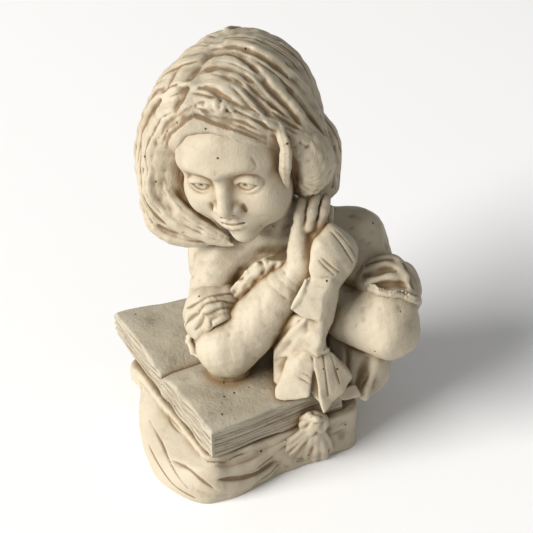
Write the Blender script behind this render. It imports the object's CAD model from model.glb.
"""The reading child's bust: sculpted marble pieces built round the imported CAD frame.

Every piece is modelled as clay: a signed-distance field on a regular grid, in millimetres,
that strokes add to or cut from, and that is then meshed. Places come from the CAD nodes' boxes.
"""
import math

import bpy
import numpy as np
import openvdb
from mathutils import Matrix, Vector


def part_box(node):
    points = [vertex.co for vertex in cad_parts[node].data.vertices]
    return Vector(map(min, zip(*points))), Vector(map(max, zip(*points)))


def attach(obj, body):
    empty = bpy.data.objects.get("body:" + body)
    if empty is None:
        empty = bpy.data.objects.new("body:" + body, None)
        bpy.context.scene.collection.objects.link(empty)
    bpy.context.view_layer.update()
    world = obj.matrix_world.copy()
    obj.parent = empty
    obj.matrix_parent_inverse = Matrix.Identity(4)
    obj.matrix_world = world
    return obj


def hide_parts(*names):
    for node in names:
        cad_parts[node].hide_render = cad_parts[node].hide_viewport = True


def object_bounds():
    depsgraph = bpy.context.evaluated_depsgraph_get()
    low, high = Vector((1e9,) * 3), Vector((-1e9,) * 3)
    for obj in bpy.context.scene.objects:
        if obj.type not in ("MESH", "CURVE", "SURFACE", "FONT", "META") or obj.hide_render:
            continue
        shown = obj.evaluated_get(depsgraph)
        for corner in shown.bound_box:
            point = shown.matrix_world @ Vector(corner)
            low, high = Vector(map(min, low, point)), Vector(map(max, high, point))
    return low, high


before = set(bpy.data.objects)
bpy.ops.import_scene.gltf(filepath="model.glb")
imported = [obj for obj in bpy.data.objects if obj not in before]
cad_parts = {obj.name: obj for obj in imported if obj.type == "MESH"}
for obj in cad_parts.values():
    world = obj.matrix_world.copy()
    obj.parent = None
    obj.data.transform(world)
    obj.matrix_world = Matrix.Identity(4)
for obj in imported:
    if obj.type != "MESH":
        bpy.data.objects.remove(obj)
cad_low, cad_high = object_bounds()

MM = 0.001                                   # one millimetre in scene units
COARSEN = 1.0
FAR = 60.0                                   # distance that stands for "nowhere near", in mm
TALL = (cad_high.z - cad_low.z) / MM
BOOK_TURN = 30.0


# ---------- places ----------

def node_box(node):
    low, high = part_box(node)
    return np.array(low) / MM, np.array(high) / MM


def spot(node, fx, fy, fz):
    """A point at those fractions of a CAD node's box, in mm."""
    low, high = node_box(node)
    return low + (high - low) * np.array((fx, fy, fz))


def span(*nodes, margin=6.0):
    """The box round several CAD nodes, grown by a margin."""
    boxes = [node_box(n) for n in nodes]
    low = np.min([b[0] for b in boxes], axis=0) - margin
    high = np.max([b[1] for b in boxes], axis=0) + margin
    return low, high


def turn_matrix(axis, degrees):
    a = math.radians(degrees)
    c, s = math.cos(a), math.sin(a)
    if axis == "x":
        return np.array(((1, 0, 0), (0, c, -s), (0, s, c)))
    if axis == "y":
        return np.array(((c, 0, s), (0, 1, 0), (-s, 0, c)))
    return np.array(((c, -s, 0), (s, c, 0), (0, 0, 1)))


def around(place, points):
    """Points given in mm from a place."""
    return np.array(points, float) + place


def unit(v):
    v = np.asarray(v, float)
    return v / np.linalg.norm(v)


SHOULDER_R = spot("right_upper_arm", 0.47, 0.70, 0.75)
ELBOW_R = spot("right_forearm", 0.26, 0.50, 0.24)
WRIST_R = spot("right_hand", 0.29, 0.24, 0.11)
SHOULDER_L = spot("torso", 0.815, 0.41, 0.755)
ELBOW_L = spot("left_forearm", 0.72, 0.42, 0.48)
WRIST_L = spot("left_forearm", 0.27, 0.73, 0.66)
CHEST = spot("torso", 0.40, 0.25, 0.59)
WAIST = spot("torso", 0.41, 0.47, 0.24)
NECK_BASE = spot("torso", 0.37, 0.43, 0.85)
NECK_TOP = spot("neck", 0.29, 0.34, 0.95)
HEAD = spot("hair", 0.547, 0.441, 0.506)
KNOT = spot("scarf_knot", 0.46, 0.56, 0.57)
ROSETTE = spot("swag_rosette", 0.46, 0.40, 0.82)

HEAD_H = 0.4 * TALL                          # chin to crown, two fifths of the bust


# ---------- clay ----------

def smooth_min(a, b, k):
    if k <= 0:
        return np.minimum(a, b)
    h = np.maximum(k - np.abs(a - b), 0.0) / k
    return np.minimum(a, b) - h * h * k * 0.25


class Form:
    """A shape: its signed distance, and the box that holds it."""

    def __init__(self, distance, low, high):
        self.distance = distance
        self.low = np.asarray(low, float)
        self.high = np.asarray(high, float)


def ball(centre, radius):
    return egg(centre, (radius, radius, radius))


def egg(centre, radii, turn=None):
    """An ellipsoid, turned by a rotation matrix."""
    c = np.asarray(centre, float)
    r = np.asarray(radii, float)

    def distance(x, y, z):
        x, y, z = x - c[0], y - c[1], z - c[2]
        if turn is not None:
            x, y, z = (turn[0, i] * x + turn[1, i] * y + turn[2, i] * z for i in range(3))
        inner = np.sqrt((x / r[0]) ** 2 + (y / r[1]) ** 2 + (z / r[2]) ** 2)
        outer = np.sqrt((x / r[0] ** 2) ** 2 + (y / r[1] ** 2) ** 2 + (z / r[2] ** 2) ** 2)
        return (inner * (inner - 1.0) / np.maximum(outer, 1e-6)).astype(np.float32)

    big = r.max() if turn is not None else r
    return Form(distance, c - big, c + big)


def roll(points, radii, flat=1.0, normals=None, strands=0, groove=0.0, waves=0.0):
    """A tapering roll along a path. flat < 1 squashes it along its normals, strands cuts
    that many furrows across its width, and waves ripples them along its length."""
    p = np.asarray(points, float)
    r = np.broadcast_to(np.asarray(radii, float), (len(p),))
    if normals is not None:
        n = np.broadcast_to(np.asarray(normals, float), p.shape)
    lengths = np.linalg.norm(np.diff(p, axis=0), axis=1)
    starts = np.concatenate(((0.0,), np.cumsum(lengths)))

    def distance(x, y, z):
        best = side_best = along_best = None
        for i in range(len(p) - 1):
            d = p[i + 1] - p[i]
            qx, qy, qz = x - p[i][0], y - p[i][1], z - p[i][2]
            t = np.clip((qx * d[0] + qy * d[1] + qz * d[2]) / max(d @ d, 1e-9), 0.0, 1.0)
            qx, qy, qz = qx - t * d[0], qy - t * d[1], qz - t * d[2]
            square = qx * qx + qy * qy + qz * qz
            if normals is not None:
                m = unit(n[i] + n[i + 1])
                rise = qx * m[0] + qy * m[1] + qz * m[2]
                square = square + rise * rise * (1.0 / flat ** 2 - 1.0)
            radius = r[i] + (r[i + 1] - r[i]) * t
            here = np.sqrt(square) - radius
            if strands:
                s = unit(np.cross(d, m))
                side = (qx * s[0] + qy * s[1] + qz * s[2]) / np.maximum(radius, 0.1)
                along = starts[i] + t * lengths[i]
            if best is None:
                best = here
                if strands:
                    side_best, along_best = side, along
            else:
                nearer = here < best
                best = np.where(nearer, here, best)
                if strands:
                    side_best = np.where(nearer, side, side_best)
                    along_best = np.where(nearer, along, along_best)
        if normals is not None:
            best = best * (0.5 + 0.5 * flat)
        if strands:
            phase = math.pi * strands * side_best + waves * np.sin(along_best * 0.16)
            best = best + groove * (0.5 - 0.5 * np.cos(phase)) * np.clip(1.3 - np.abs(side_best), 0.0, 1.0)
        return best.astype(np.float32)

    big = r.max()
    return Form(distance, p.min(0) - big, p.max(0) + big)


def gem(points, rounding=2.0):
    """The faceted solid round some points, with softened edges."""
    p = np.asarray(points, float)
    faces = {}
    for i in range(len(p)):
        for j in range(i + 1, len(p)):
            for k in range(j + 1, len(p)):
                n = np.cross(p[j] - p[i], p[k] - p[i])
                if np.linalg.norm(n) < 1e-6:
                    continue
                n = unit(n)
                side = (p - p[i]) @ n
                if side.min() > -1e-6:
                    n, side = -n, -side
                if side.max() < 1e-6:
                    faces[tuple(np.round(n, 4))] = float(n @ p[i])

    def distance(x, y, z):
        d = None
        for n, reach in faces.items():
            face = n[0] * x + n[1] * y + n[2] * z - reach
            d = face if d is None else -smooth_min(-d, -face, rounding)
        return d.astype(np.float32)

    return Form(distance, p.min(0), p.max(0))


def curve(points, count):
    """A smooth path of count points through a few hand-placed ones (Catmull-Rom)."""
    p = np.asarray(points, float)
    p = np.vstack((2 * p[0] - p[1], p, 2 * p[-1] - p[-2]))
    out = []
    for u in np.linspace(0, len(p) - 3 - 1e-6, count):
        i = int(u)
        t = u - i
        a, b, c, d = p[i], p[i + 1], p[i + 2], p[i + 3]
        out.append(0.5 * (2 * b + (c - a) * t + (2 * a - 5 * b + 4 * c - d) * t ** 2
                          + (3 * b - a - 3 * c + d) * t ** 3))
    return np.array(out)


def box_blur(a, reach):
    """A running mean over 2 * reach + 1 cells along each axis."""
    for axis in range(3):
        pad = [(0, 0)] * 3
        pad[axis] = (reach + 1, reach)
        total = np.cumsum(np.pad(a, pad, mode="edge"), axis=axis, dtype=np.float64)
        width = 2 * reach + 1
        n = a.shape[axis]
        high = np.take(total, range(width, width + n), axis=axis)
        low = np.take(total, range(0, n), axis=axis)
        a = ((high - low) / width).astype(np.float32)
    return a


class Clay:
    """A block of clay on a grid aligned with the frame."""

    def __init__(self, box, step):
        self.step = step * COARSEN
        self.low = np.floor(np.asarray(box[0]) / self.step) * self.step
        counts = np.ceil((np.asarray(box[1]) - self.low) / self.step).astype(int) + 1
        self.axes = [(self.low[i] + self.step * np.arange(counts[i])).astype(np.float32)
                     for i in range(3)]
        self.field = np.full(counts, FAR, np.float32)

    def like(self):
        """An empty block on the same grid."""
        other = Clay.__new__(Clay)
        other.step, other.low, other.axes = self.step, self.low, self.axes
        other.field = np.full(self.field.shape, FAR, np.float32)
        return other

    def window(self, low, high):
        cut = tuple(slice(int(np.searchsorted(a, lo)), int(np.searchsorted(a, hi, side="right")))
                    for a, lo, hi in zip(self.axes, low, high))
        x, y, z = (a[c] for a, c in zip(self.axes, cut))
        return cut, (x[:, None, None], y[None, :, None], z[None, None, :])

    def grid(self):
        x, y, z = self.axes
        return x[:, None, None], y[None, :, None], z[None, None, :]

    def _stroke(self, form, blend):
        reach = blend + 3 * self.step
        cut, p = self.window(form.low - reach, form.high + reach)
        if 0 in self.field[cut].shape:
            return cut, None
        return cut, form.distance(*p)

    def add(self, form, blend=0.0):
        cut, d = self._stroke(form, blend)
        if d is not None:
            self.field[cut] = smooth_min(self.field[cut], d, blend)
        return self

    def carve(self, form, blend=0.0):
        cut, d = self._stroke(form, blend)
        if d is not None:
            self.field[cut] = -smooth_min(-self.field[cut], d, blend)
        return self

    def build(self, blend, *forms):
        for form in forms:
            self.add(form, blend)
        return self

    def score(self, path, width, soft=0.5):
        """Engraves one even line, or raises one where the width is negative."""
        widths = np.broadcast_to(np.asarray(width, float), (len(path),))
        reach = np.abs(widths).max() + soft + 4 * self.step
        whole, _ = self.window(path.min(0) - reach, path.max(0) + reach)
        if 0 in self.field[whole].shape:
            return self
        line = np.full(self.field[whole].shape, FAR, np.float32)
        for i in range(len(path) - 1):
            piece = roll(path[i:i + 2], np.abs(widths[i:i + 2]))
            cut, p = self.window(piece.low - soft - 3 * self.step, piece.high + soft + 3 * self.step)
            if 0 in self.field[cut].shape:
                continue
            part = tuple(slice(c.start - w.start, c.stop - w.start) for c, w in zip(cut, whole))
            line[part] = np.minimum(line[part], piece.distance(*p))
        if widths.sum() > 0:
            self.field[whole] = -smooth_min(-self.field[whole], line, soft)
        else:
            self.field[whole] = smooth_min(self.field[whole], line, soft)
        return self

    def soften(self, form, depth, reach=3):
        """Rubs the skin smooth inside a form, and less near the form's border."""
        cut, p = self.window(form.low, form.high)
        weight = np.clip(-form.distance(*p) / depth, 0.0, 1.0)
        rubbed = np.clip(self.field[cut], -10.0, 10.0)
        for _ in range(2):
            rubbed = box_blur(rubbed, reach)
        self.field[cut] += weight * (rubbed - self.field[cut])

    def keep_above(self, z):
        self.field = np.maximum(self.field, z - self.grid()[2])
        return self

    def roughen(self, wavelength, amount, seed):
        """Adds soft hand-modelled unevenness to the skin."""
        draw = np.random.default_rng(seed)
        x, y, z = self.grid()
        wave = np.zeros(self.field.shape, np.float32)
        for _ in range(6):
            k = unit(draw.normal(size=3)) * (2 * math.pi / (wavelength * draw.uniform(0.7, 1.5)))
            wave += np.sin(k[0] * x + k[1] * y + k[2] * z + draw.uniform(0, 6.3)).astype(np.float32)
        self.field += wave * (amount / 2.4)
        return self

    def sample(self, points, field=None):
        """The field at some points, by trilinear interpolation."""
        field = self.field if field is None else field
        g = (points - self.low) / self.step
        g = np.clip(g, 0, np.array(field.shape) - 1.001)
        i = g.astype(int)
        f = g - i
        out = 0.0
        for dx in (0, 1):
            for dy in (0, 1):
                for dz in (0, 1):
                    w = (np.abs(1 - dx - f[:, 0]) * np.abs(1 - dy - f[:, 1]) * np.abs(1 - dz - f[:, 2]))
                    out = out + w * field[i[:, 0] + dx, i[:, 1] + dy, i[:, 2] + dz]
        return out

    def slope(self, points):
        e = self.step
        steps = np.eye(3) * e
        g = np.stack([self.sample(points + s) - self.sample(points - s) for s in steps], 1)
        return g / np.maximum(np.linalg.norm(g, axis=1, keepdims=True), 1e-6)

    def snap(self, points, lift=0.0, limit=99.0):
        """Moves points onto the skin, or to a height above it, by no more than a limit."""
        start = np.array(points, float)
        p = start.copy()
        for _ in range(6):
            p = p - self.slope(p) * (self.sample(p) - lift)[:, None]
        shift = p - start
        length = np.linalg.norm(shift, axis=1, keepdims=True)
        return start + shift * np.minimum(1.0, limit / np.maximum(length, 1e-6))

    def mesh(self):
        edge = self.field
        for axis in range(3):
            for end in (0, -1):
                face = [slice(None)] * 3
                face[axis] = end
                edge[tuple(face)] = np.maximum(edge[tuple(face)], self.step)
        grid = openvdb.FloatGrid(3.0)
        grid.copyFromArray(np.ascontiguousarray(np.clip(edge / self.step, -3.0, 3.0)))
        points, quads = grid.convertToQuads(0.0)
        return np.asarray(points) * self.step + self.low, np.asarray(quads).astype(int)


def share(raws, blend, finish=None, tuck=3.0):
    """Blends raw blocks on one grid into one skin, and gives each its own stretch of it.
    Past its border a piece sinks under its neighbour, so the border never opens."""
    skin = raws[0].like()
    for raw in raws:
        skin.field = smooth_min(skin.field, raw.field, blend)
    if finish:
        finish(skin)
    pieces = []
    for i, raw in enumerate(raws):
        rival = np.min([r.field for j, r in enumerate(raws) if j != i], axis=0)
        past = (raw.field - rival) * 0.5
        piece = raw.like()
        piece.field = np.maximum(skin.field + np.clip(past * 0.35, 0.0, 2.0), past - tuck)
        pieces.append(piece)
    return pieces


# ---------- head and hair ----------

class Place:
    """A turned frame about the middle of the head, in head heights: to the sitter's left, back and up."""

    def __init__(self, yaw, lean, nod):
        self.turn = turn_matrix("y", -lean) @ turn_matrix("z", -yaw) @ turn_matrix("x", nod)

    def at(self, x, y, z):
        return HEAD + self.turn @ (np.array((x, y, z)) * HEAD_H)

    def egg(self, x, y, z, radii):
        return egg(self.at(x, y, z), np.array(radii) * HEAD_H, self.turn)

    def path(self, points, count):
        return curve([self.at(*p) for p in points], count)

    def roll(self, points, radii, **more):
        return roll([self.at(*p) for p in points], np.array(radii) * HEAD_H, **more)


FACE = Place(20.0, 12.0, 6.0)
HAIR = Place(24.0, 11.0, 6.0)


def skull(clay):
    h = HEAD_H
    clay.add(FACE.egg(0, 0.07, 0.12, (0.345, 0.42, 0.36)))
    clay.build(0.07 * h, FACE.egg(0, -0.065, 0.19, (0.315, 0.315, 0.24)),
               FACE.egg(0, -0.06, 0.06, (0.315, 0.325, 0.24)),
               FACE.egg(0, -0.09, -0.10, (0.290, 0.275, 0.25)),
               FACE.egg(0, -0.10, -0.25, (0.245, 0.225, 0.19)),
               FACE.egg(0, -0.245, -0.395, (0.095, 0.09, 0.08)))
    for side in (-1, 1):
        clay.build(0.08 * h, FACE.egg(side * 0.165, -0.205, -0.165, (0.145, 0.145, 0.15)),
                   FACE.egg(side * 0.13, -0.14, -0.30, (0.12, 0.13, 0.11)))


def eyes(clay):
    h = HEAD_H
    brow = [(0.24, -0.255, 0.060), (0.16, -0.318, 0.090), (0.07, -0.345, 0.075)]
    brow = [(-x, y, z) for x, y, z in brow] + brow[::-1]
    clay.add(FACE.roll(brow, (0.012, 0.018, 0.016, 0.016, 0.018, 0.012)), 0.09 * h)
    for side in (-1, 1):
        clay.carve(FACE.egg(side * 0.135, -0.395, -0.02, (0.095, 0.068, 0.060)), 0.08 * h)
        clay.carve(FACE.egg(side * 0.066, -0.378, -0.02, (0.028, 0.034, 0.036)), 0.03 * h)
        centre = (side * 0.135, -0.262, -0.030)
        clay.add(FACE.egg(*centre, (0.080, 0.080, 0.080)), 0.004 * h)
        lid(clay, centre, side, upper=True)
        lid(clay, centre, side, upper=False)
        clay.carve(FACE.egg(side * 0.130, -0.3415, -0.040, (0.021, 0.009, 0.021)), 0.004 * h)
        clay.carve(FACE.egg(side * 0.130, -0.3430, -0.036, (0.010, 0.020, 0.010)), 0.004 * h)


def lid(clay, centre, side, upper):
    """A lid: a roll along its margin, and rolls behind it that cover the eyeball."""
    h = HEAD_H
    for row in range(4):
        lift = row / 3
        stations = []
        for t in np.linspace(-1, 1, 9):
            yaw = t * 0.98 + side * 0.04
            arch = (1 - t * t) * (1 - 0.18 * side * t)
            if upper:
                pitch = -0.12 + 0.47 * arch + 0.40 * lift * (0.35 + 0.65 * arch)
            else:
                pitch = -0.16 - 0.46 * arch - 0.40 * lift * (0.35 + 0.65 * arch)
            reach = 0.0875 - 0.007 * lift
            stations.append((centre[0] + reach * math.sin(yaw) * math.cos(pitch),
                             centre[1] - reach * math.cos(yaw) * math.cos(pitch),
                             centre[2] + reach * math.sin(pitch)))
        thick = (0.0115 if upper else 0.0085) + 0.003 * lift
        clay.add(FACE.roll(stations, [thick] * 9), (0.002 + 0.014 * lift) * h)


def nose(clay):
    h = HEAD_H
    clay.add(FACE.roll([(0, -0.338, 0.055), (0, -0.352, -0.03), (0, -0.382, -0.105), (0, -0.408, -0.155)],
                       (0.026, 0.030, 0.038, 0.046)), 0.045 * h)
    clay.carve(FACE.roll([(-0.09, -0.40, 0.015), (0, -0.415, 0.005), (0.09, -0.40, 0.015)],
                         (0.03, 0.025, 0.03)), 0.04 * h)
    for side in (-1, 1):
        clay.add(FACE.egg(side * 0.050, -0.366, -0.172, (0.034, 0.042, 0.032)), 0.018 * h)
        clay.carve(FACE.roll([(side * 0.098, -0.366, -0.150), (side * 0.095, -0.352, -0.20)],
                             (0.005, 0.008)), 0.022 * h)
    clay.add(FACE.egg(0, -0.388, -0.185, (0.018, 0.036, 0.020)), 0.012 * h)
    for side in (-1, 1):
        clay.carve(FACE.egg(side * 0.031, -0.388, -0.207, (0.015, 0.022, 0.014)), 0.012 * h)


def mouth(clay):
    h = HEAD_H
    clay.add(FACE.egg(0, -0.29, -0.275, (0.120, 0.090, 0.095)), 0.06 * h)
    clay.carve(FACE.roll([(0, -0.405, -0.215), (0, -0.396, -0.245)], (0.011, 0.014)), 0.014 * h)
    for side in (-1, 1):
        clay.add(FACE.roll([(0, -0.366, -0.263), (side * 0.030, -0.370, -0.256),
                            (side * 0.064, -0.348, -0.266), (side * 0.092, -0.312, -0.278)],
                           (0.018, 0.021, 0.017, 0.008)), 0.010 * h)
        clay.add(FACE.roll([(0, -0.362, -0.305), (side * 0.036, -0.356, -0.303),
                            (side * 0.068, -0.330, -0.293), (side * 0.092, -0.308, -0.281)],
                           (0.026, 0.024, 0.017, 0.008)), 0.010 * h)
    seam = [(-0.088, -0.330, -0.280), (-0.055, -0.372, -0.277), (-0.022, -0.392, -0.276),
            (0, -0.392, -0.280), (0.022, -0.392, -0.276), (0.055, -0.372, -0.277), (0.088, -0.330, -0.280)]
    clay.carve(FACE.roll(seam, (0.005, 0.008, 0.008, 0.008, 0.008, 0.008, 0.005)), 0.010 * h)
    clay.carve(FACE.egg(0, -0.382, -0.350, (0.060, 0.024, 0.018)), 0.03 * h)
    clay.add(FACE.egg(0, -0.285, -0.415, (0.055, 0.050, 0.045)), 0.05 * h)


def head_clay():
    clay = Clay(span("head", margin=8), 0.8)
    skull(clay)
    eyes(clay)
    nose(clay)
    mouth(clay)
    clay.soften(FACE.egg(0, -0.33, 0.26, (0.32, 0.20, 0.18)), 0.04 * HEAD_H)
    for side in (-1, 1):
        clay.add(FACE.egg(side * 0.325, 0.03, -0.06, (0.035, 0.075, 0.10)), 0.02 * HEAD_H)
        clay.carve(FACE.egg(side * 0.365, 0.005, -0.05, (0.025, 0.04, 0.06)), 0.015 * HEAD_H)
    return clay.roughen(16, 0.3, seed=3)


# Locks from the parting to the ends, round the head from the face's right edge to its left edge,
# in hundredths of the head's height. The second row is the lock's half width in mm, evenly
# spread along it.
LOCKS = (
    (((-5, -31, 49), (-16, -33, 42), (-29, -27, 32), (-41, -21, 16), (-47, -23, -1),
      (-49, -29, -12), (-46, -33, -22), (-39, -35, -31), (-30, -35, -38), (-18, -33, -44)),
     (4, 7, 9, 9, 9, 9, 9, 8, 6, 3)),
    (((-6, -22, 56), (-22, -22, 49), (-38, -16, 37), (-50, -12, 20), (-56, -17, 2),
      (-56, -27, -13), (-52, -32, -25), (-44, -35, -35), (-33, -35, -42), (-18, -32, -48)),
     (6, 10, 13, 13, 13, 12, 11, 10, 8, 3)),
    (((-6, -10, 60), (-24, -10, 54), (-42, -4, 40), (-54, -1, 22), (-60, -6, 4),
      (-62, -16, -13), (-58, -24, -29), (-48, -28, -41), (-36, -26, -47), (-22, -20, -51)),
     (8, 13, 15, 15, 14, 13, 12, 10, 8, 4)),
    (((-5, 2, 62), (-24, 8, 54), (-40, 14, 38), (-50, 16, 18), (-53, 13, -2),
      (-53, 9, -20), (-48, 4, -36), (-36, 0, -47), (-24, 0, -52)),
     (8, 13, 16, 16, 15, 14, 12, 10, 5)),
    (((-5, 14, 60), (-20, 26, 50), (-33, 34, 30), (-40, 35, 8), (-42, 30, -12),
      (-40, 24, -30), (-32, 18, -44), (-22, 14, -52)), (8, 13, 16, 16, 15, 13, 10, 5)),
    (((-3, 22, 57), (-12, 40, 44), (-18, 49, 22), (-20, 47, 0), (-21, 40, -20),
      (-20, 32, -38), (-12, 24, -50)), (8, 13, 15, 15, 14, 12, 5)),
    (((0, 22, 57), (4, 42, 44), (6, 51, 22), (5, 49, 0), (3, 42, -20),
      (2, 33, -38), (2, 24, -50)), (8, 13, 15, 15, 14, 12, 5)),
    (((2, 20, 58), (14, 34, 49), (24, 41, 31), (29, 41, 10), (29, 36, -12),
      (27, 28, -32), (22, 20, -48)), (8, 13, 15, 15, 14, 12, 5)),
    (((0, 12, 61), (16, 20, 56), (31, 24, 42), (40, 25, 22), (43, 25, 0),
      (43, 24, -22), (39, 22, -46)), (8, 13, 15, 15, 14, 12, 7)),
    (((-2, 2, 62), (14, 7, 60), (29, 9, 49), (40, 10, 34), (46, 11, 15),
      (48, 12, -5), (46, 14, -25), (42, 16, -44)), (7, 11, 12, 12, 11, 10, 9, 5)),
    (((-4, -9, 61), (10, -4, 60), (24, -3, 53), (35, -4, 41), (43, -3, 26),
      (48, 1, 10), (50, 4, -6), (47, 6, -22)), (7, 10, 12, 12, 11, 9, 7, 3)),
    (((-5, -18, 58), (8, -14, 58), (20, -15, 52), (30, -16, 41), (37, -14, 29),
      (43, -9, 17), (47, -4, 5), (48, -1, -7)), (6, 9, 11, 11, 10, 8, 6, 3)),
    (((-4, -25, 54), (6, -24, 53), (17, -25, 47), (27, -24, 38), (34, -20, 29),
      (40, -14, 19), (44, -9, 10)), (5, 8, 9, 9, 9, 7, 4)),
    (((-2, -30, 49), (7, -31, 47), (17, -31, 42), (27, -27, 34), (34, -22, 25),
      (39, -17, 16), (40, -14, 9)), (3, 6, 7, 7, 7, 6, 3)),
)
# Strands that hang inside the right-hand mass, beside the cheek, in the same units,
# and their thickness in mm
INNER_STRANDS = (
    (((-42, -24, -9), (-39, -28, -16), (-33, -31, -24), (-25, -32, -32), (-16, -31, -40),
      (-9, -29, -47)), 5.0),
    (((-39, -20, -13), (-35, -24, -22), (-28, -27, -30), (-21, -28, -36),
      (-13, -28, -42)), 4.4),
    (((-48, -29, -16), (-43, -33, -24), (-36, -35, -32), (-26, -34, -39), (-16, -33, -45),
      (-6, -31, -50)), 5.4),
    (((-58, -28, -24), (-53, -34, -34), (-44, -36, -42), (-32, -34, -47), (-20, -30, -51)),
     6.0),
)
# Valleys between the great masses of hair, in the same units, with their width in mm
VALLEYS = (
    (((-16, -34, 44), (-12, -27, 52), (-7, -17, 58), (0, -4, 62), (11, 0, 60),
      (23, -3, 55), (33, -7, 46), (41, -8, 32), (44, -7, 13)), 3.4),
    (((9, -25, 53), (14, -28, 48), (18, -31, 43), (20, -33, 37)), 2.2),
    (((24, -12, 51), (29, -16, 45), (32, -18, 38), (35, -19, 30)), 2.0),
    (((17, -19, 52), (24, -22, 46), (29, -23, 38), (33, -23, 29)), 1.6),
    (((40, 1, 37), (43, 2, 26), (47, 2, 15), (49, 2, 6)), 2.6),
    (((37, 0, 42), (42, -1, 31), (45, 1, 19), (49, 2, 8)), 2.0),
    (((-19, -10, 56), (-23, -18, 51), (-27, -23, 46), (-39, -18, 32), (-48, -16, 18)), 2.8),
    (((-7, -18, 57), (-11, -27, 52), (-16, -33, 46), (-21, -35, 38)), 1.8),
    (((-1, -16, 58), (8, -10, 59), (19, -10, 56), (28, -12, 48), (36, -14, 36),
      (41, -13, 21)), 1.8),
)
STATIONS = 16


def taper(count, thick):
    """Thickness along a strand that dies away at both ends."""
    return thick * np.sin(np.linspace(0.35, math.pi - 0.2, count)) ** 0.7


def hair_mass(clay):
    """The bob without its locks."""
    h = HEAD_H
    clay.add(HAIR.egg(0.0, 0.08, 0.16, (0.40, 0.44, 0.435)))
    clay.build(0.08 * h, HAIR.egg(-0.03, -0.05, 0.26, (0.34, 0.30, 0.31)),
               HAIR.roll([(-0.26, -0.04, 0.30), (-0.39, -0.08, 0.13), (-0.46, -0.15, -0.05),
                          (-0.47, -0.22, -0.18), (-0.44, -0.26, -0.32), (-0.30, -0.26, -0.43)],
                         (0.15, 0.13, 0.115, 0.10, 0.085, 0.05)),
               HAIR.roll([(-0.33, -0.06, 0.16), (-0.37, -0.09, 0.02), (-0.38, -0.13, -0.10),
                          (-0.36, -0.17, -0.22), (-0.27, -0.20, -0.36)], (0.08, 0.085, 0.085, 0.08, 0.06)),
               HAIR.roll([(-0.36, 0.10, 0.15), (-0.40, 0.07, -0.10), (-0.37, 0.05, -0.30)],
                         (0.16, 0.15, 0.11)),
               HAIR.egg(-0.02, 0.27, -0.02, (0.37, 0.24, 0.36)),
               HAIR.egg(-0.04, 0.20, -0.32, (0.36, 0.19, 0.18)),
               HAIR.roll([(0.26, 0.04, 0.22), (0.33, 0.05, 0.05), (0.33, 0.06, -0.14), (0.28, 0.08, -0.26)],
                         (0.16, 0.15, 0.13, 0.11)),
               HAIR.roll([(0.37, 0.17, -0.08), (0.36, 0.19, -0.26), (0.29, 0.17, -0.44)],
                         (0.11, 0.115, 0.10)))


def lay_locks(clay):
    """Broad low locks over the mass."""
    guides = hair_guides()
    for (_, widths), path in zip(LOCKS, guides):
        size = np.interp(np.linspace(0, 1, STATIONS), np.linspace(0, 1, len(widths)), widths)
        size[:2] *= 0.4, 0.75
        path = clay.snap(path, lift=-0.33 * size, limit=10.0)
        clay.add(roll(path, size, flat=0.45, normals=clay.slope(path), strands=3, groove=0.5, waves=0.4),
                 5.0)
    return [clay.snap(path, lift=0.0, limit=10.0) for path in guides]


def hair_guides():
    return np.array([HAIR.path(np.array(points) / 100, STATIONS) for points, _ in LOCKS])


def comb(clay, guides):
    """Lesser strands and engraved lines that follow the locks."""
    draw = np.random.default_rng(11)
    for a, b in zip(guides[:-1], guides[1:]):
        for k in range(10):
            t = draw.uniform(-0.1, 1.1)
            first = int(draw.integers(0, STATIONS - 6))
            last = min(STATIONS, first + int(draw.integers(6, 14)))
            path = (a + (b - a) * t)[first:last]
            phase = draw.uniform(0, 6.3)
            sway = np.sin(np.linspace(phase, phase + draw.uniform(1, 3), len(path)))[:, None]
            path = curve(path + unit(b[6] - a[6]) * sway * draw.uniform(0.5, 2.5), 2 * len(path))
            thin = taper(len(path), 1.0)
            if k < 3:
                size = thin * draw.uniform(3.0, 5.0)
                clay.score(clay.snap(path, lift=0.9 - 1.0 * size, limit=9.0), -size, 3.0)
            elif k < 6:
                size = thin * draw.uniform(1.7, 2.5)
                clay.score(clay.snap(path, lift=0.45 * size, limit=9.0), size, 2.0)
            else:
                size = thin * draw.uniform(1.1, 1.5)
                clay.score(clay.snap(path, lift=0.5 * size, limit=9.0), size, 1.2)


def side_masses(clay):
    """The mass over the ear, the one behind it, and the strands inside the other side."""
    side = HAIR.turn @ np.array((0.9, -0.5, 0.1))
    over = ((0.41, -0.10, 0.12), (0.45, -0.06, 0.02), (0.45, -0.04, -0.09), (0.41, -0.04, -0.19),
            (0.35, -0.05, -0.28))
    clay.add(roll(HAIR.path(over, 10), np.interp(np.linspace(0, 4, 10), range(5), (8, 15, 17, 14, 5)),
                  flat=0.75, normals=side, strands=4, groove=0.5, waves=0.5), 3.5)
    outer = ((0.36, 0.18, -0.06), (0.39, 0.20, -0.18), (0.40, 0.22, -0.30), (0.38, 0.22, -0.42),
             (0.31, 0.19, -0.52))
    clay.add(roll(HAIR.path(outer, 10), np.interp(np.linspace(0, 4, 10), range(5), (6, 10, 11, 10, 5)),
                  flat=0.8, normals=side, strands=4, groove=0.6), 3.5)
    inward = HAIR.turn @ np.array((0.5, -0.8, 0.1))
    for points, thick in INNER_STRANDS:
        path = HAIR.path(np.array(points) / 100, 12)
        clay.add(roll(path, taper(12, 1.15 * thick), flat=0.8, normals=inward, strands=2, groove=0.7), 3.5)


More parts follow.
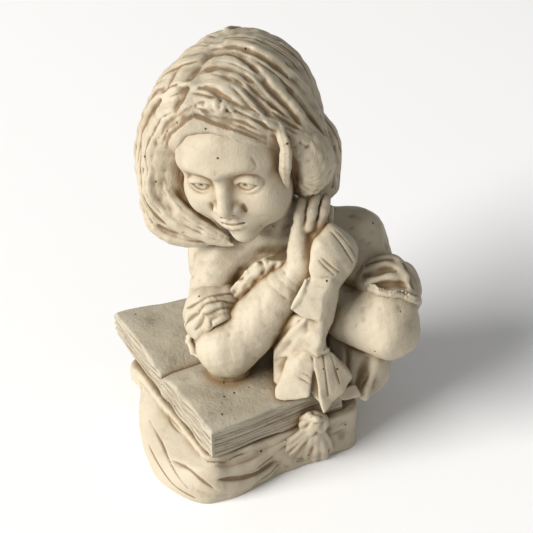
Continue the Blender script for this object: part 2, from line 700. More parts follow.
def hairline(clay):
    """The tousled lock above the brow, the strands that fall to it, and the lock before the ear."""
    front = HAIR.turn @ np.array((0, -1, 0.3))
    for start, lift, thick in ((-0.09, 0.0, 2.4), (-0.04, 0.032, 2.6), (0.01, 0.060, 2.2)):
        tuft = HAIR.path(((start, -0.33, 0.425 + lift), (start + 0.07, -0.345, 0.450 + lift),
                          (start + 0.14, -0.34, 0.435 + lift), (start + 0.21, -0.335, 0.385 + lift)), 11)
        clay.add(roll(clay.snap(tuft, lift=-0.6, limit=12.0), taper(11, thick)), 3.5)
    for k in range(9):
        drop = k / 8
        sway = 0.008 * math.sin(2.3 * k)
        fall = (((-0.02, -0.32, 0.50 - 0.10 * drop), (0.10, -0.33, 0.460 - 0.10 * drop),
                 (0.23 + sway, -0.30, 0.375 - 0.09 * drop), (0.33 - 0.03 * drop, -0.23, 0.26 - 0.09 * drop)),
                ((-0.04, -0.32, 0.49 - 0.10 * drop), (-0.15, -0.33, 0.42 - 0.10 * drop),
                 (-0.26 + sway, -0.28, 0.31 - 0.09 * drop),
                 (-0.37 + 0.03 * drop, -0.22, 0.18 - 0.08 * drop)))
        for strand in fall:
            path = clay.snap(HAIR.path(strand, 16), lift=0.3, limit=9.0)
            clay.score(path, taper(16, 0.8 + 0.3 * (k % 3)), 1.6)
    clay.score(HAIR.path(((0.09, -0.33, 0.50), (0.14, -0.345, 0.445), (0.185, -0.355, 0.375),
                          (0.20, -0.36, 0.34)), 11), 2.0, 1.2)
    free = HAIR.path(((0.36, -0.17, 0.25), (0.385, -0.205, 0.15), (0.365, -0.215, 0.04),
                      (0.335, -0.205, -0.07), (0.315, -0.185, -0.18)), 11)
    size = np.interp(np.linspace(0, 4, 11), range(5), (4.0, 5.0, 5.2, 4.4, 1.4))
    clay.add(roll(free, size, flat=0.8, normals=front, strands=2, groove=0.8), 1.2)


def hair_clay():
    h = HEAD_H
    clay = Clay(span("hair", margin=9), 0.95)
    hair_mass(clay)
    guides = lay_locks(clay)
    for points, width in VALLEYS:
        path = clay.snap(HAIR.path(np.array(points) / 100, 14), lift=0.3, limit=12.0)
        clay.score(path, taper(14, width), 3.5)
    clay.carve(HAIR.egg(0.02, -0.62, -0.06, (0.35, 0.47, 0.46)), 0.03 * h)
    clay.carve(HAIR.egg(0.04, -0.30, -0.60, (0.26, 0.34, 0.26)), 0.04 * h)
    comb(clay, guides)
    side_masses(clay)
    hairline(clay)
    return clay.roughen(14, 0.4, seed=5)


def hair_flow(points):
    """Where points lie among the locks: how far across them and how far along."""
    gaps, alongs = [], []
    for line in hair_guides():
        a, d = line[:-1], np.diff(line, axis=0)
        t = np.clip(((points[:, None] - a) * d).sum(-1) / (d * d).sum(-1), 0, 1)
        gap = np.linalg.norm(points[:, None] - a - t[..., None] * d, axis=-1)
        best = gap.argmin(1)
        rows = np.arange(len(points))
        gaps.append(gap[rows, best])
        alongs.append(best + t[rows, best])
    alongs = np.array(alongs)
    weight = 1 / np.maximum(np.array(gaps), 0.5) ** 4
    weight = weight / weight.sum(0)
    return (np.arange(len(weight))[:, None] * weight).sum(0), (alongs * weight).sum(0)


# ---------- flesh ----------

def flesh_clays():
    block = Clay(span("torso", "neck", "right_upper_arm", margin=8), 1.2)
    torso, neck, arm = block, block.like(), block.like()
    torso.build(14.0, roll([SHOULDER_R + (10, 4, -2), NECK_BASE, SHOULDER_L + (-3, 0, 0)], (19, 25, 24)),
                roll([SHOULDER_R + (12, 8, -14), CHEST + (0, 4, 4), SHOULDER_L + (-14, -2, -14)],
                     (22, 28, 28)),
                roll([CHEST + (0, 10, -6), WAIST + (0, 2, 10)], (32, 38)),
                roll([SHOULDER_R + (22, 24, -12), NECK_BASE + (0, 18, -16), SHOULDER_L + (-18, 14, -14)],
                     (24, 29, 28)),
                roll([NECK_BASE + (-4, 22, -30), WAIST + (0, 14, 0)], (32, 38)),
                roll([SHOULDER_R + (4, 30, -14), SHOULDER_R + (2, 26, -46)], (21, 24)),
                egg(SHOULDER_R + (-11, 33, -18), (24, 22, 31)),
                egg(WAIST + (0, 4, -26), (62, 46, 36)),
                roll([SHOULDER_L, SHOULDER_L + (13, -20, -17)], (26, 22)))
    for side, end in ((-1, SHOULDER_R + (14, -2, 10)), (1, SHOULDER_L + (-14, -8, 12))):
        pit = NECK_BASE + (-3 + 6 * side, -25, 1)
        torso.add(roll([pit, (pit + end) / 2 + (0, -3, 2), end], (4.5, 4.0, 5.0)), 7.0)
    torso.add(gem(around(CHEST, ((20, -50, 4), (12, -58, -18), (-2, -72, -56), (26, -62, -50), (40, -52, 0),
                                 (20, -20, 4), (4, -40, -60), (34, -36, -56))), 6.0), 6.0)
    neck.add(roll([NECK_BASE + (2, 4, -16), NECK_BASE + (0, 0, 6), NECK_TOP, FACE.at(0, 0.04, -0.20)],
                  (25, 24, 22, 24)))
    for side in (-1, 1):
        neck.add(roll([NECK_BASE + (-3 + 4 * side, -24, 4), FACE.at(side * 0.26, 0.02, -0.16)], (4.5, 7.0)),
                 8.0)
    upper = curve((SHOULDER_R, SHOULDER_R + (-5, -11, -15), SHOULDER_R + (-5, -24, -34),
                   ELBOW_R + (-2, 8, 10)), 9)
    arm.add(roll(upper, np.linspace(22, 21.5, 9)))
    pinch = curve((SHOULDER_R + (17, -20, 2), SHOULDER_R + (14, -27, -12), SHOULDER_R + (20, -30, -32)), 7)

    def finish(skin):
        skin.score(pinch, (1.0, 1.5, 2.2, 2.8, 3.2, 3.0, 2.5), 4.0)
        skin.roughen(24, 0.5, seed=21)
        skin.roughen(9, 0.15, seed=22)
        skin.keep_above(node_box("torso")[0][2])

    return share((torso, neck, arm), 9.0, finish)


# Fingers of the raised hand, from the wrist: knuckle, tip, and how far the middle bows forward
FINGERS = (((-4, 5.5, 36.5), (-0.5, 13.5, 58.5), 3.5),
           ((5, 7.5, 40), (10, 16.5, 60.5), 4.5),
           ((14, 11.5, 41), (19.5, 19.5, 57), 4.0),
           ((20, 18, 34), (23, 27, 42), 3.0))


def forearm_clays():
    block = Clay(span("right_forearm", "right_hand", margin=8), 0.8)
    arm, hand = block, block.like()
    line = curve((ELBOW_R, ELBOW_R + (18, 2, 18), ELBOW_R + (38, 6, 44), ELBOW_R + (52, 10, 61), WRIST_R),
                 12)
    arm.add(roll(line, (26, 25.5, 25, 24, 22.5, 21, 19.5, 17.5, 15.5, 14, 13, 12.5)))
    arm.add(roll([ELBOW_R + (-2, 0, 4), ELBOW_R + (-3, 10, 14)], (25, 21)), 8.0)
    arm.add(egg(ELBOW_R + (1, 2, -25), (19, 18, 5)), 7.0)
    hand.add(roll([WRIST_R + (-1, 0, 0), WRIST_R + (-3, 2, 16), WRIST_R + (-3, 4, 30)], (12, 10, 7.5)))
    hand.add(roll([WRIST_R + (4, 2, 2), WRIST_R + (8, 6, 18), WRIST_R + (13, 10, 34)], (10.5, 9, 7)), 5.0)
    hand.add(roll([WRIST_R + (10, 8, 10), WRIST_R + (20, 15, 32)], (8, 6)), 5.0)
    for knuckle, tip, bow in FINGERS:
        knuckle, tip = WRIST_R + knuckle, WRIST_R + tip
        middle = (knuckle + tip) / 2 + (-0.5, -bow, 0.5)
        fine = curve((knuckle, middle, tip), 8)
        hand.add(roll(fine, (5.2, 4.8, 4.5, 4.8, 4.9, 4.4, 4.5, 3.9)), 0.8)
        hand.add(ball(knuckle + (0, -1.5, -1), 5.2), 3.0)
    hand.score(curve((WRIST_R + (-12, -6, 2), WRIST_R + (0, -12, 0), WRIST_R + (10, -9, 3)), 6), 1.1, 2.0)

    def finish(skin):
        skin.roughen(22, 0.45, seed=31)
        skin.roughen(8, 0.12, seed=32)

    return share((arm, hand), 6.0, finish)


def left_forearm_clay():
    clay = Clay(span("left_forearm", margin=10), 1.1)
    line = curve((ELBOW_L + (1, 0, 3), ELBOW_L + (-17, 6, 5), ELBOW_L + (-33, 13, 6), WRIST_L + (2, 0, 0),
                  WRIST_L + (-14, 5, 4)), 10)
    clay.add(roll(line, (21.5, 22.5, 23.5, 24, 23.5, 22.5, 21, 18.5, 16.5, 15)))
    clay.add(egg(ELBOW_L + (15, 3, -6), (12, 14, 12)), 5.0)
    clay.add(roll([ELBOW_L + (1, 0, 2), ELBOW_L + (0, 10, 20)], (27, 25)), 8.0)
    return clay.roughen(26, 0.6, seed=41).roughen(9, 0.15, seed=42)


# ---------- dress ----------

def ribbon(clay, points, centre, thick, flat=0.5, blend=1.0, count=14):
    """A flat fold of cloth that faces away from a centre."""
    path = curve(points, count)
    normals = np.array([unit(p - centre) for p in path])
    clay.add(roll(path, taper(count, thick), flat=flat, normals=normals), blend)


def crease(clay, points, width, soft=1.5, count=12, limit=8.0):
    """A furrow in the skin near some points."""
    path = clay.snap(curve(points, count), lift=0.2, limit=limit)
    clay.score(path, taper(count, width), soft)


# Folds of the right sleeve from the elbow's middle, in mm, with their half width
RIGHT_FOLDS = (
    (((-3, 16, 41), (-9, 11, 46), (-16, 9, 44), (-23, 11, 41), (-30, 17, 34), (-34, 22, 24)), 4.6),
    (((2, 12, 38), (-7, 5, 45), (-17, 3, 44), (-25, 4, 35), (-30, 9, 26), (-32, 12, 16)), 5.4),
    (((6, 8, 36), (-5, 1, 43), (-14, -2, 42), (-20, -1, 36), (-25, 1, 27), (-29, 5, 16), (-34, 10, 3)), 5.2),
    (((8, 4, 35), (-5, -3, 39), (-14, -5, 35), (-18, -5, 30), (-21, -3, 22), (-27, 1, 15)), 4.8),
    (((9, 1, 34), (-2, -6, 37), (-9, -9, 34), (-15, -8, 28), (-20, -5, 21)), 3.4),
    (((4, 26, 36), (-10, 30, 40), (-24, 28, 34), (-33, 26, 20), (-33, 26, 6)), 5.0),
    (((2, 34, 28), (-12, 36, 32), (-26, 33, 24), (-32, 30, 10)), 5.0),
)
RIGHT_FURROWS = (
    (((0, 14, 40), (-12, 7, 46), (-22, 7, 40), (-29, 12, 31)), 1.5),
    (((4, 8, 38), (-9, 1, 45), (-19, 0, 40), (-26, 4, 30), (-31, 9, 14)), 1.7),
    (((8, 4, 36), (-5, -2, 42), (-14, -4, 39), (-19, -3, 31), (-24, 0, 21)), 1.9),
    (((9, 0, 34), (0, -5, 38), (-10, -8, 36), (-16, -7, 28)), 1.8),
)


def right_sleeve_clay():
    clay = Clay(span("right_sleeve", margin=9), 0.8)
    draw = np.random.default_rng(51)
    middle = ELBOW_R + (-10, 20, 28)
    clay.build(8.0, egg(middle + (0, 0, 3), (25, 27, 21)), egg(middle + (-8, -3, -10), (21, 25, 20)))
    for points, size in RIGHT_FOLDS:
        ribbon(clay, around(ELBOW_R, points), middle + (4, 4, -6), 1.15 * size, flat=0.6, blend=2.0)
    for points, width in RIGHT_FURROWS:
        crease(clay, around(ELBOW_R, points), width, soft=2.5)
    rim = curve(around(ELBOW_R, ((-35, 12, 2), (-30, 2, -6), (-25, -5, -10), (-19, -9, -12))), 10)
    for k, p in enumerate(rim):
        clay.add(egg(p + draw.uniform(-1, 1, 3), (3.6, 3.0, 2.6 + 0.8 * (k % 2))), 1.5)
    return clay.roughen(16, 0.5, seed=52)


# Folds of the left sleeve from the left elbow's middle, in mm, with their half width
LEFT_FOLDS = (
    (((-22, 25, 50), (-9, 25, 56), (2, 27, 56), (9, 25, 54), (15, 23, 45)), 4.0),
    (((-20, 19, 49), (-10, 18, 53), (-1, 18, 55), (5, 17, 55), (7, 13, 50)), 3.6),
    (((-17, 8, 43), (-9, 6, 47), (0, 7, 49), (7, 8, 48), (12, 12, 42)), 4.2),
    (((-14, 3, 38), (-6, 0, 38), (4, 1, 38), (14, 4, 34), (21, 10, 26)), 4.0),
    (((8, 24, 53), (10, 15, 48), (12, 10, 40), (14, 7, 33)), 3.6),
    (((16, 28, 46), (20, 20, 38), (22, 14, 30)), 3.4),
    (((-6, 40, 44), (8, 44, 40), (20, 42, 30), (26, 36, 18)), 4.6),
    (((22, 30, 34), (26, 24, 22), (27, 24, 8)), 4.0),
)
LEFT_FURROWS = (
    (((-22, 14, 46), (-12, 12, 50), (-2, 13, 52), (5, 12, 51)), 2.6),
    (((-18, 22, 51), (-8, 22, 55), (2, 22, 56)), 1.6),
    (((-16, 5, 41), (-6, 3, 43), (4, 4, 44), (12, 8, 39)), 1.8),
    (((10, 20, 51), (13, 13, 44), (16, 9, 36)), 1.6),
)
LEFT_HEM = ((-14, 3.5, 38.4), (-7, 2.5, 34.6), (1, 3.5, 30), (12, 5.5, 24), (22, 13.5, 18), (29, 23.5, 3),
            (29, 30, -2))


def left_sleeve_clay():
    clay = Clay(span("left_sleeve", margin=9), 0.9)
    draw = np.random.default_rng(61)
    middle = ELBOW_L + (-2, 24, 32)
    clay.build(10.0, egg(middle, (25, 25, 22)), egg(middle + (9, -4, -6), (19, 21, 20)),
               egg(ELBOW_L + (4, 12, 20), (24, 16, 16)))
    for points, size in LEFT_FOLDS:
        path = clay.snap(curve(around(ELBOW_L, points), 12), lift=-0.5, limit=7.0)
        clay.add(roll(path, taper(12, size)), 4.0)
    for points, width in LEFT_FURROWS:
        crease(clay, around(ELBOW_L, points), width, soft=4.0)
    hem = left_forearm_clay().snap(curve(around(ELBOW_L, LEFT_HEM), 56), lift=1.5, limit=14.0)
    clay.add(roll(hem[::4], 3.0), 2.5)
    for row, (rise, size) in enumerate(((0.5, 1.7), (4.5, 1.1), (-2.5, 1.2))):
        for k, p in enumerate(hem):
            place = p + (0, -1.5, rise + 0.6 * math.sin(0.9 * k + row))
            clay.add(ball(place, size * draw.uniform(0.75, 1.15)), 0.6)
    return clay.roughen(12, 0.3, seed=62)


def frill_clay():
    """The gathered edge of the low neckline, which shows above the forearm."""
    clay = Clay(span("neckline_frill", margin=19), 0.9)
    draw = np.random.default_rng(71)
    line = around(NECK_BASE, ((-38, -52, -48), (-31, -46, -38), (-21, -44, -26), (-12, -44, -15),
                              (2, -42, -11), (10, -40, -10), (16, -34, -15)))
    path = curve(line, 26)
    clay.add(roll(path[::2], 6.5))
    rows = np.gradient(path, axis=0)
    for k, p in enumerate(path):
        up = unit(np.cross((0, -1, 0.2), rows[k]))
        lean = unit(rows[k]) * draw.uniform(-2.5, 2.5)
        out = np.array((0, -4.2, 0))
        pleat = [p + out + up * 6.0 + lean, p + out * 1.25 + up * draw.uniform(-1, 2),
                 p + out * 0.9 - up * 6.0 - lean]
        clay.add(roll(curve(pleat, 6), np.linspace(1.8, 2.6, 6) * draw.uniform(0.85, 1.15)), 2.4)
    return clay.roughen(7, 0.5, seed=72)


def dress_clay():
    """The dress where it spreads below the left forearm: two great flat folds, one before the other."""
    clay = Clay(span("dress_side", margin=12), 1.0)
    base = spot("dress_side", 0.0, 0.0, 0.0)
    bottom = base[2]

    def at(*points):
        return around(base, points)

    front = gem(at((18, 31, 64), (14, 29, 58), (27, 17, 51), (53, 14, 46), (44, -2, 15), (26, -5, 15),
                   (18, 3, 14), (20, 49, 62), (54, 49, 44), (46, 39, 12), (16, 39, 12)), 2.5)
    rear = gem(at((53, 15, 46), (65, 19, 40), (68, 15, 22), (56, 4, 13), (45, -1, 13), (68, 49, 38),
                  (68, 49, 14), (48, 49, 10), (52, 54, 44)), 3.0)
    clay.build(5.0, egg(base + (49, 59, 32), (26, 44, 26)), rear)
    clay.add(egg(base + (50, 24, 32), (14, 18, 20)), 4.0)
    clay.add(front, 3.0)
    ridge = curve(at((53, 14, 46), (51, 8, 34), (46, 1, 22), (44, -1, 16)), 9)
    clay.add(roll(ridge, np.linspace(2.6, 4.0, 9)), 2.5)
    crease(clay, at((45, 12, 47), (40, 3, 33), (35, -3, 19)), 1.2, soft=6.0)
    crease(clay, at((29, 20, 53), (28, 4, 36), (25, -4, 20)), 1.6, soft=5.0)
    crease(clay, at((20, 28, 62), (35, 20, 54), (48, 18, 50)), 1.2, soft=4.0)
    clay.keep_above(bottom)
    return clay.roughen(22, 0.7, seed=82)


# ---------- scarf ----------

LOOP_FRONT = ((39.5, -23, 209), (53.5, -17, 221), (67, -16, 214), (77.5, -20, 200), (78, -25, 190),
              (71.5, -29, 178), (61.5, -35, 168), (55.8, -40, 186), (34.6, -37, 184), (35.2, -31, 198),
              (44, -31, 207), (64, -28, 205))
LOOP_STEM = ((35, -39, 182), (56, -41, 184), (62, -35, 168), (61, -38, 152), (50.8, -50, 127),
             (37, -50, 127), (34.5, -44, 148), (48.2, -49, 152), (48, -53, 129))


def scarf_clays():
    nodes = ("scarf_loop", "scarf_flap", "scarf_knot", "scarf_tail_striped", "scarf_tail_plain")
    block = Clay(span(*nodes, margin=8), 0.8)
    loop, flap, knot, striped, plain = block, block.like(), block.like(), block.like(), block.like()
    back = np.array((2, 21, -8))
    loop.add(gem(np.vstack((LOOP_FRONT, np.array(LOOP_FRONT)[:7] * 0.97 + (1.6, 0, 6) + back)), 5.0))
    loop.add(gem(np.vstack((LOOP_STEM, np.array(LOOP_STEM)[:7] + back * 0.8)), 3.5), 4.0)
    flap.add(gem(((21.2, -43, 158), (22, -45, 153), (34.5, -48, 147), (48, -49, 150), (52, -44, 176),
                  (33, -39, 180), (27, -40, 166), (38, -30, 156), (44, -30, 172), (27, -34, 158)), 2.5))
    flap.add(roll(curve(((35, -38, 182), (31, -40, 170), (24, -43, 158)), 7),
                  (1.6, 1.8, 1.8, 1.7, 1.6, 1.5, 1.3)), 2.0)
    knot.add(gem(around(KNOT, ((-11, -1, 12), (6, -1, 14), (9, 3, 2), (8, 2, -14), (-6, 0, -18),
                               (-13, 3, -6), (-4, -7, -6), (2, -8, 4), (-4, 14, 6), (6, 12, -8))), 4.0))
    knot.add(roll([KNOT + (-10, -1, -2), KNOT + (-1, -6, -6), KNOT + (8, -1, -5)], (1.8, 2.2, 1.8)), 4.0)
    striped.add(gem(((37, -49, 123), (43, -51, 117), (20.2, -46, 109), (8.5, -58, 82), (11, -63, 75),
                     (30, -67, 79), (40, -67, 84), (43, -56, 100), (24, -58, 100), (28, -34, 108),
                     (14, -44, 76), (38, -50, 76)), 3.0))
    striped.add(gem(((34, -46, 122), (42, -40, 114), (20, -20, 112), (0, -12, 84), (-3, -20, 77),
                     (8, -37, 77), (12, -50, 80), (40, -46, 80), (44, -30, 100), (30, -10, 104),
                     (10, -6, 77)), 3.0), 3.0)
    striped.add(gem(((36, -44, 150), (24, -32, 144), (16, -30, 126), (10, -28, 110), (4, -26, 96),
                     (16, -44, 104), (36, -48, 122), (42, -30, 140), (24, -16, 130), (12, -12, 100)), 3.0),
                4.0)
    striped.add(gem(((-22, -10, 80), (-14, -2, 106), (8, 4, 128), (26, 6, 146), (34, -34, 146),
                     (14, -28, 126), (2, -22, 100), (-6, -20, 80), (20, -10, 80), (30, 0, 110)), 4.0), 6.0)
    for fold in (((34, -44, 146), (22, -38, 126), (8, -34, 98)),
                 ((28, -36, 140), (12, -24, 118), (-4, -16, 92)),
                 ((36, -46, 120), (20, -38, 104), (7, -34, 82)),
                 ((34, -42, 118), (14, -26, 104), (0, -22, 82))):
        striped.add(roll(curve(fold, 8), np.linspace(2.0, 3.6, 8)), 4.0)
    plain.add(gem(((40, -50, 117), (46, -52, 116), (37, -58, 84), (42, -62, 78), (49, -66, 72),
                   (52, -58, 84), (44, -40, 110), (40, -38, 78), (52, -38, 78)), 3.0))
    plain.add(gem(((40, -48, 121), (54, -46, 120), (69, -36, 95), (77.4, -48, 88), (51, -74, 68),
                   (49.3, -51, 110), (47, -67, 85), (46, -64, 76), (60, -36, 76), (52, -52, 64),
                   (67, -42, 76), (44, -40, 104)), 2.5))
    plain.add(gem(((60, -52, 76), (68, -53, 66), (84, -47, 68), (79, -44, 79), (74, -34, 64), (62, -36, 66)),
                  1.8), 1.5)

    def finish(skin):
        lines = (((44, -40, 201), (57, -35, 186), 0.6), ((48, -38, 202), (61, -33, 187), 0.6),
                 ((61, -19, 220), (80, -27, 196), 0.6), ((57, -22, 219), (77, -31, 192), 0.6),
                 ((20, -57, 103), (40, -62, 93), 0.6), ((22, -55, 108), (41, -60, 98), 0.6),
                 ((51, -52, 114), (56, -66, 84), 0.7), ((57, -48, 112), (65, -56, 88), 0.6))
        for a, b, width in lines:
            path = skin.snap(np.linspace(a, b, 9), lift=0.1, limit=8.0)
            skin.score(path, width, 0.9)
        skin.roughen(20, 0.5, seed=91)
        skin.roughen(9, 0.15, seed=92)

    return share((loop, flap, knot, striped, plain), 2.0, finish, tuck=2.0)


# ---------- book ----------

def page_clays():
    """Both page blocks: a curved top, a valley at the gutter, and leaf lines on the edges."""
    turn = math.radians(BOOK_TURN)
    low = node_box("pages_right")[0]
    corner = np.array((spot("pages_right", 0.28, 0, 0)[0], low[1]))
    width, length, base, height = 95.0, 128.0, low[2], 29.0
    out = []
    for name, far_side in (("pages_right", False), ("pages_left", True)):
        clay = Clay(span(name, margin=5), 0.8)
        x, y, z = clay.grid()
        u = (x - corner[0]) * math.cos(turn) + (y - corner[1]) * math.sin(turn)
        v = -(x - corner[0]) * math.sin(turn) + (y - corner[1]) * math.cos(turn)
        v = 2 * width - v if far_side else v
        t = np.clip(v / width, 0.0, 1.0)
        top = base + height + 3.0 * np.sin(math.pi * t) - (11.0 if far_side else 10.0) * t ** 7
        top = top + 0.7 * np.sin(u * 0.09 + 1.0) * np.sin(v * 0.07) - 1.0 * np.clip(1 - u / 14, 0, 1) ** 2
        top = top + 0.08 * np.sin(u * 0.31 + v * 0.11) * np.sin(v * 0.23 - u * 0.07)
        leaf = (z - base) + 0.7 * np.sin(u * 0.045 + v * 0.03) + 0.3 * np.sin(u * 0.13 - v * 0.1)
        furrow = 0.6 * np.abs(np.sin(leaf * 0.95 + 0.5 * np.sin(leaf * 0.55)))
        furrow = furrow + 0.35 * np.sin(leaf * 0.9 + 2.0)
        furrow = furrow + 0.4 * np.sin(u * 0.21 + leaf) * np.sin(v * 0.17)
        fan = (z - base) * (0.02 if not far_side else 0.05)
        edges = np.maximum(np.maximum(0.3 - u + furrow * 0.9 - fan, u - length),
                           np.maximum(0.3 - v + furrow * 0.9, v - width))
        if far_side:
            slant = math.radians(13.0)
            edges = np.maximum(edges, -(v * math.cos(slant)) + u * math.sin(slant) + furrow * 0.6)
        sides = np.maximum(edges, base - z)
        clay.field = (-smooth_min(-sides, -(z - top), 2.6)).astype(np.float32)
        out.append(clay.roughen(34, 0.7, seed=101 + far_side))
    return out


# ---------- plinth ----------

def plan_distance(x, y, corners, rounding):
    """Distance to a rounded outline, on a flat grid."""
    inside = np.zeros(np.broadcast(x, y).shape, bool)
    gap = np.full(inside.shape, FAR)
    for a, b in zip(corners, np.roll(corners, -1, axis=0)):
        d = b - a
        t = np.clip(((x - a[0]) * d[0] + (y - a[1]) * d[1]) / (d @ d), 0, 1)
        gap = np.minimum(gap, np.hypot(x - a[0] - t * d[0], y - a[1] - t * d[1]))
        if a[1] != b[1]:
            inside ^= ((a[1] > y) != (b[1] > y)) & (x < a[0] + (y - a[1]) * d[0] / d[1])
    return np.where(inside, -gap, gap) - rounding


BODY_PLAN = ((0.39, 0.074), (0.92, 0.38), (0.93, 0.74), (0.88, 0.935), (0.378, 0.935), (0.194, 0.674),
             (0.141, 0.55))
BAND_PLAN = ((0.39, 0.084), (0.925, 0.37), (0.935, 0.74), (0.88, 0.94), (0.378, 0.94), (0.136, 0.75),
             (0.059, 0.665))


def plinth_plans(x, y):
    """Distance to the outlines of the plinth's body and of its upper band."""
    low, high = node_box("plinth_shell")
    size = (high - low)[:2]
    x, y = x[:, :, 0], y[:, :, 0]
    body = plan_distance(x, y, low[:2] + np.array(BODY_PLAN) * size, 14.0)
    band = plan_distance(x, y, low[:2] + np.array(BAND_PLAN) * size, 12.0)
    return body[:, :, None], band[:, :, None]


def plinth_clay():
    top = node_box("plinth_shell")[1][2]
    clay = Clay(span("plinth_shell", margin=5), 1.2)
    x, y, z = clay.grid()
    body, band = plinth_plans(x, y)
    band_foot = 27.0
    band_skin = -smooth_min(smooth_min(-band, z - band_foot, 4.0), top - z, 4.0)
    solid = smooth_min(np.maximum(body, z - band_foot - 3), band_skin, 3.0)
    hollow = np.maximum(body + 9.0, z - (top - 9.0))
    solid = -smooth_min(-solid, hollow, 2.0)
    clay.field = solid.astype(np.float32)
    clay.roughen(26, 0.8, seed=111)
    clay.roughen(9, 0.2, seed=112)
    return clay.keep_above(0.0)


# The drapery's outline where it meets the ground, from the far left round the front, in fractions of its box
SKIRT_PLAN = ((0.02, 1.15), (0.0, 0.96), (0.03, 0.70), (0.055, 0.55), (0.095, 0.41), (0.155, 0.27),
              (0.24, 0.14), (0.35, 0.05), (0.46, 0.045), (0.62, 0.135), (0.84, 0.38), (1.0, 0.53),
              (1.0, 1.15))
# Folds that fan out from the gathered knot, in mm from the knot's middle, with their half width
SWAG_FOLDS = (
    (((-18, 2, -6), (-40, -12, -16), (-61, -25, -19), (-86, -35, -16), (-107, -29, -15)), 3.8),
    (((-14, 3, -20), (-31, -7, -33), (-52, -24, -34), (-75, -37, -31), (-98, -41, -26)), 4.0),
)
SWAG_FURROWS = (
    (((-20, 6, -4), (-36, -8, -8), (-53, -20, -12), (-70, -28, -12), (-84, -33, -10)), 2.0, 3.0),
    (((-17, 1, -13), (-31, -8, -24), (-46, -19, -28), (-63, -31, -26), (-82, -37, -20)), 2.1, 3.0),
    (((-12, 3, -26), (-22, -2, -38), (-36, -13, -41)), 2.0, 2.5),
    (((-16, 3, -9), (-28, -5, -16), (-43, -14, -20), (-58, -23, -21)), 1.4, 2.0),
    (((-15, 3, -17), (-27, -4, -28), (-41, -14, -35), (-56, -24, -38)), 1.5, 2.0),
    (((-18, 5, 0), (-34, -6, -2), (-52, -18, -5)), 1.3, 2.0),
    (((-140, 12, -30), (-130, -8, -32), (-116, -26, -36), (-102, -38, -40)), 1.1, 1.5),
    (((-146, 32, -18), (-138, 14, -18), (-132, 0, -18), (-124, -18, -22), (-116, -29, -27),
      (-108, -38, -32)), 1.2, 0.8),
    (((-123, -16, -20), (-107, -30, -17), (-94, -39, -23), (-84, -41, -30)), 1.2, 2.0),
)


def drapery_clay():
    """A skirt of cloth that closes up to the plinth's band, with folds drawn from the knot."""
    clay = Clay(span("plinth_drapery", margin=7), 1.0)
    low, high = node_box("plinth_drapery")
    x, y, z = clay.grid()
    corners = curve([(*p, 0.0) for p in low[:2] + np.array(SKIRT_PLAN) * (high - low)[:2]], 40)[:, :2]
    skirt = plan_distance(x[:, :, 0], y[:, :, 0], corners, 0.0)[:, :, None]
    body, band = plinth_plans(x, y)
    foot = 1.2 * np.clip(1.0 - z / 6.0, 0.0, 1.0) ** 2
    rise = np.clip((z - 5.0) / (high[2] - 6.0), 0.0, 1.0) ** 2.3
    side = (skirt + foot) * (1.0 - rise) + (band - 0.6) * rise
    clay.field = (-smooth_min(-side, high[2] - z, 3.0)).astype(np.float32)
    for points, size in SWAG_FOLDS:
        path = curve(clay.snap(around(ROSETTE, points), limit=14.0), 16)
        clay.add(roll(clay.snap(path, lift=-0.7 * size, limit=6.0), taper(16, size)), 7.0)
    for points, width, soft in SWAG_FURROWS:
        crease(clay, clay.snap(around(ROSETTE, points), limit=14.0), width, soft, count=18)
    clay.roughen(24, 0.6, seed=121)
    clay.field = np.maximum(clay.field, -(body + 4.0)).astype(np.float32)
    return clay.keep_above(0.0)


# Pleats below the knot: top, knee and foot from the knot's middle in mm
PLEATS = (((-10, 6, -2), (-14, 4, -24), (-26, 2, -38)), ((-7, 0, -4), (-13, 4, -24), (-20, 6, -40)),
          ((-4, -1, -5), (-7, 3, -24), (-11, 8, -42)), ((0, 0, -6), (0, 4, -24), (-1, 10, -42)),
          ((3, 2, -7), (6, 6, -24), (7, 13, -41)), ((6, 4, -6), (11, 10, -22), (13, 17, -38)))
# Crumpled folds of the knot, from its middle in mm, with their half width
KNOT_FOLDS = (
    (((-10, 3, -6), (-10, -1, 2), (-4, -3, 8)), 3.2), (((-5, 0, 8), (2, -3, 9), (8, 1, 6)), 3.0),
    (((8, 2, 7), (10, 1, 0), (7, 0, -7)), 3.0), (((-8, -1, -5), (-3, -4, -1), (-2, -3, 5)), 2.6),
    (((5, -1, -6), (3, -4, 0), (4, -2, 5)), 2.6), (((-5, -2, -9), (-1, -5, -4), (1, -4, 2)), 2.2),
    (((-13, 5, 3), (-8, 2, 8), (-3, 2, 13)), 2.4),
)


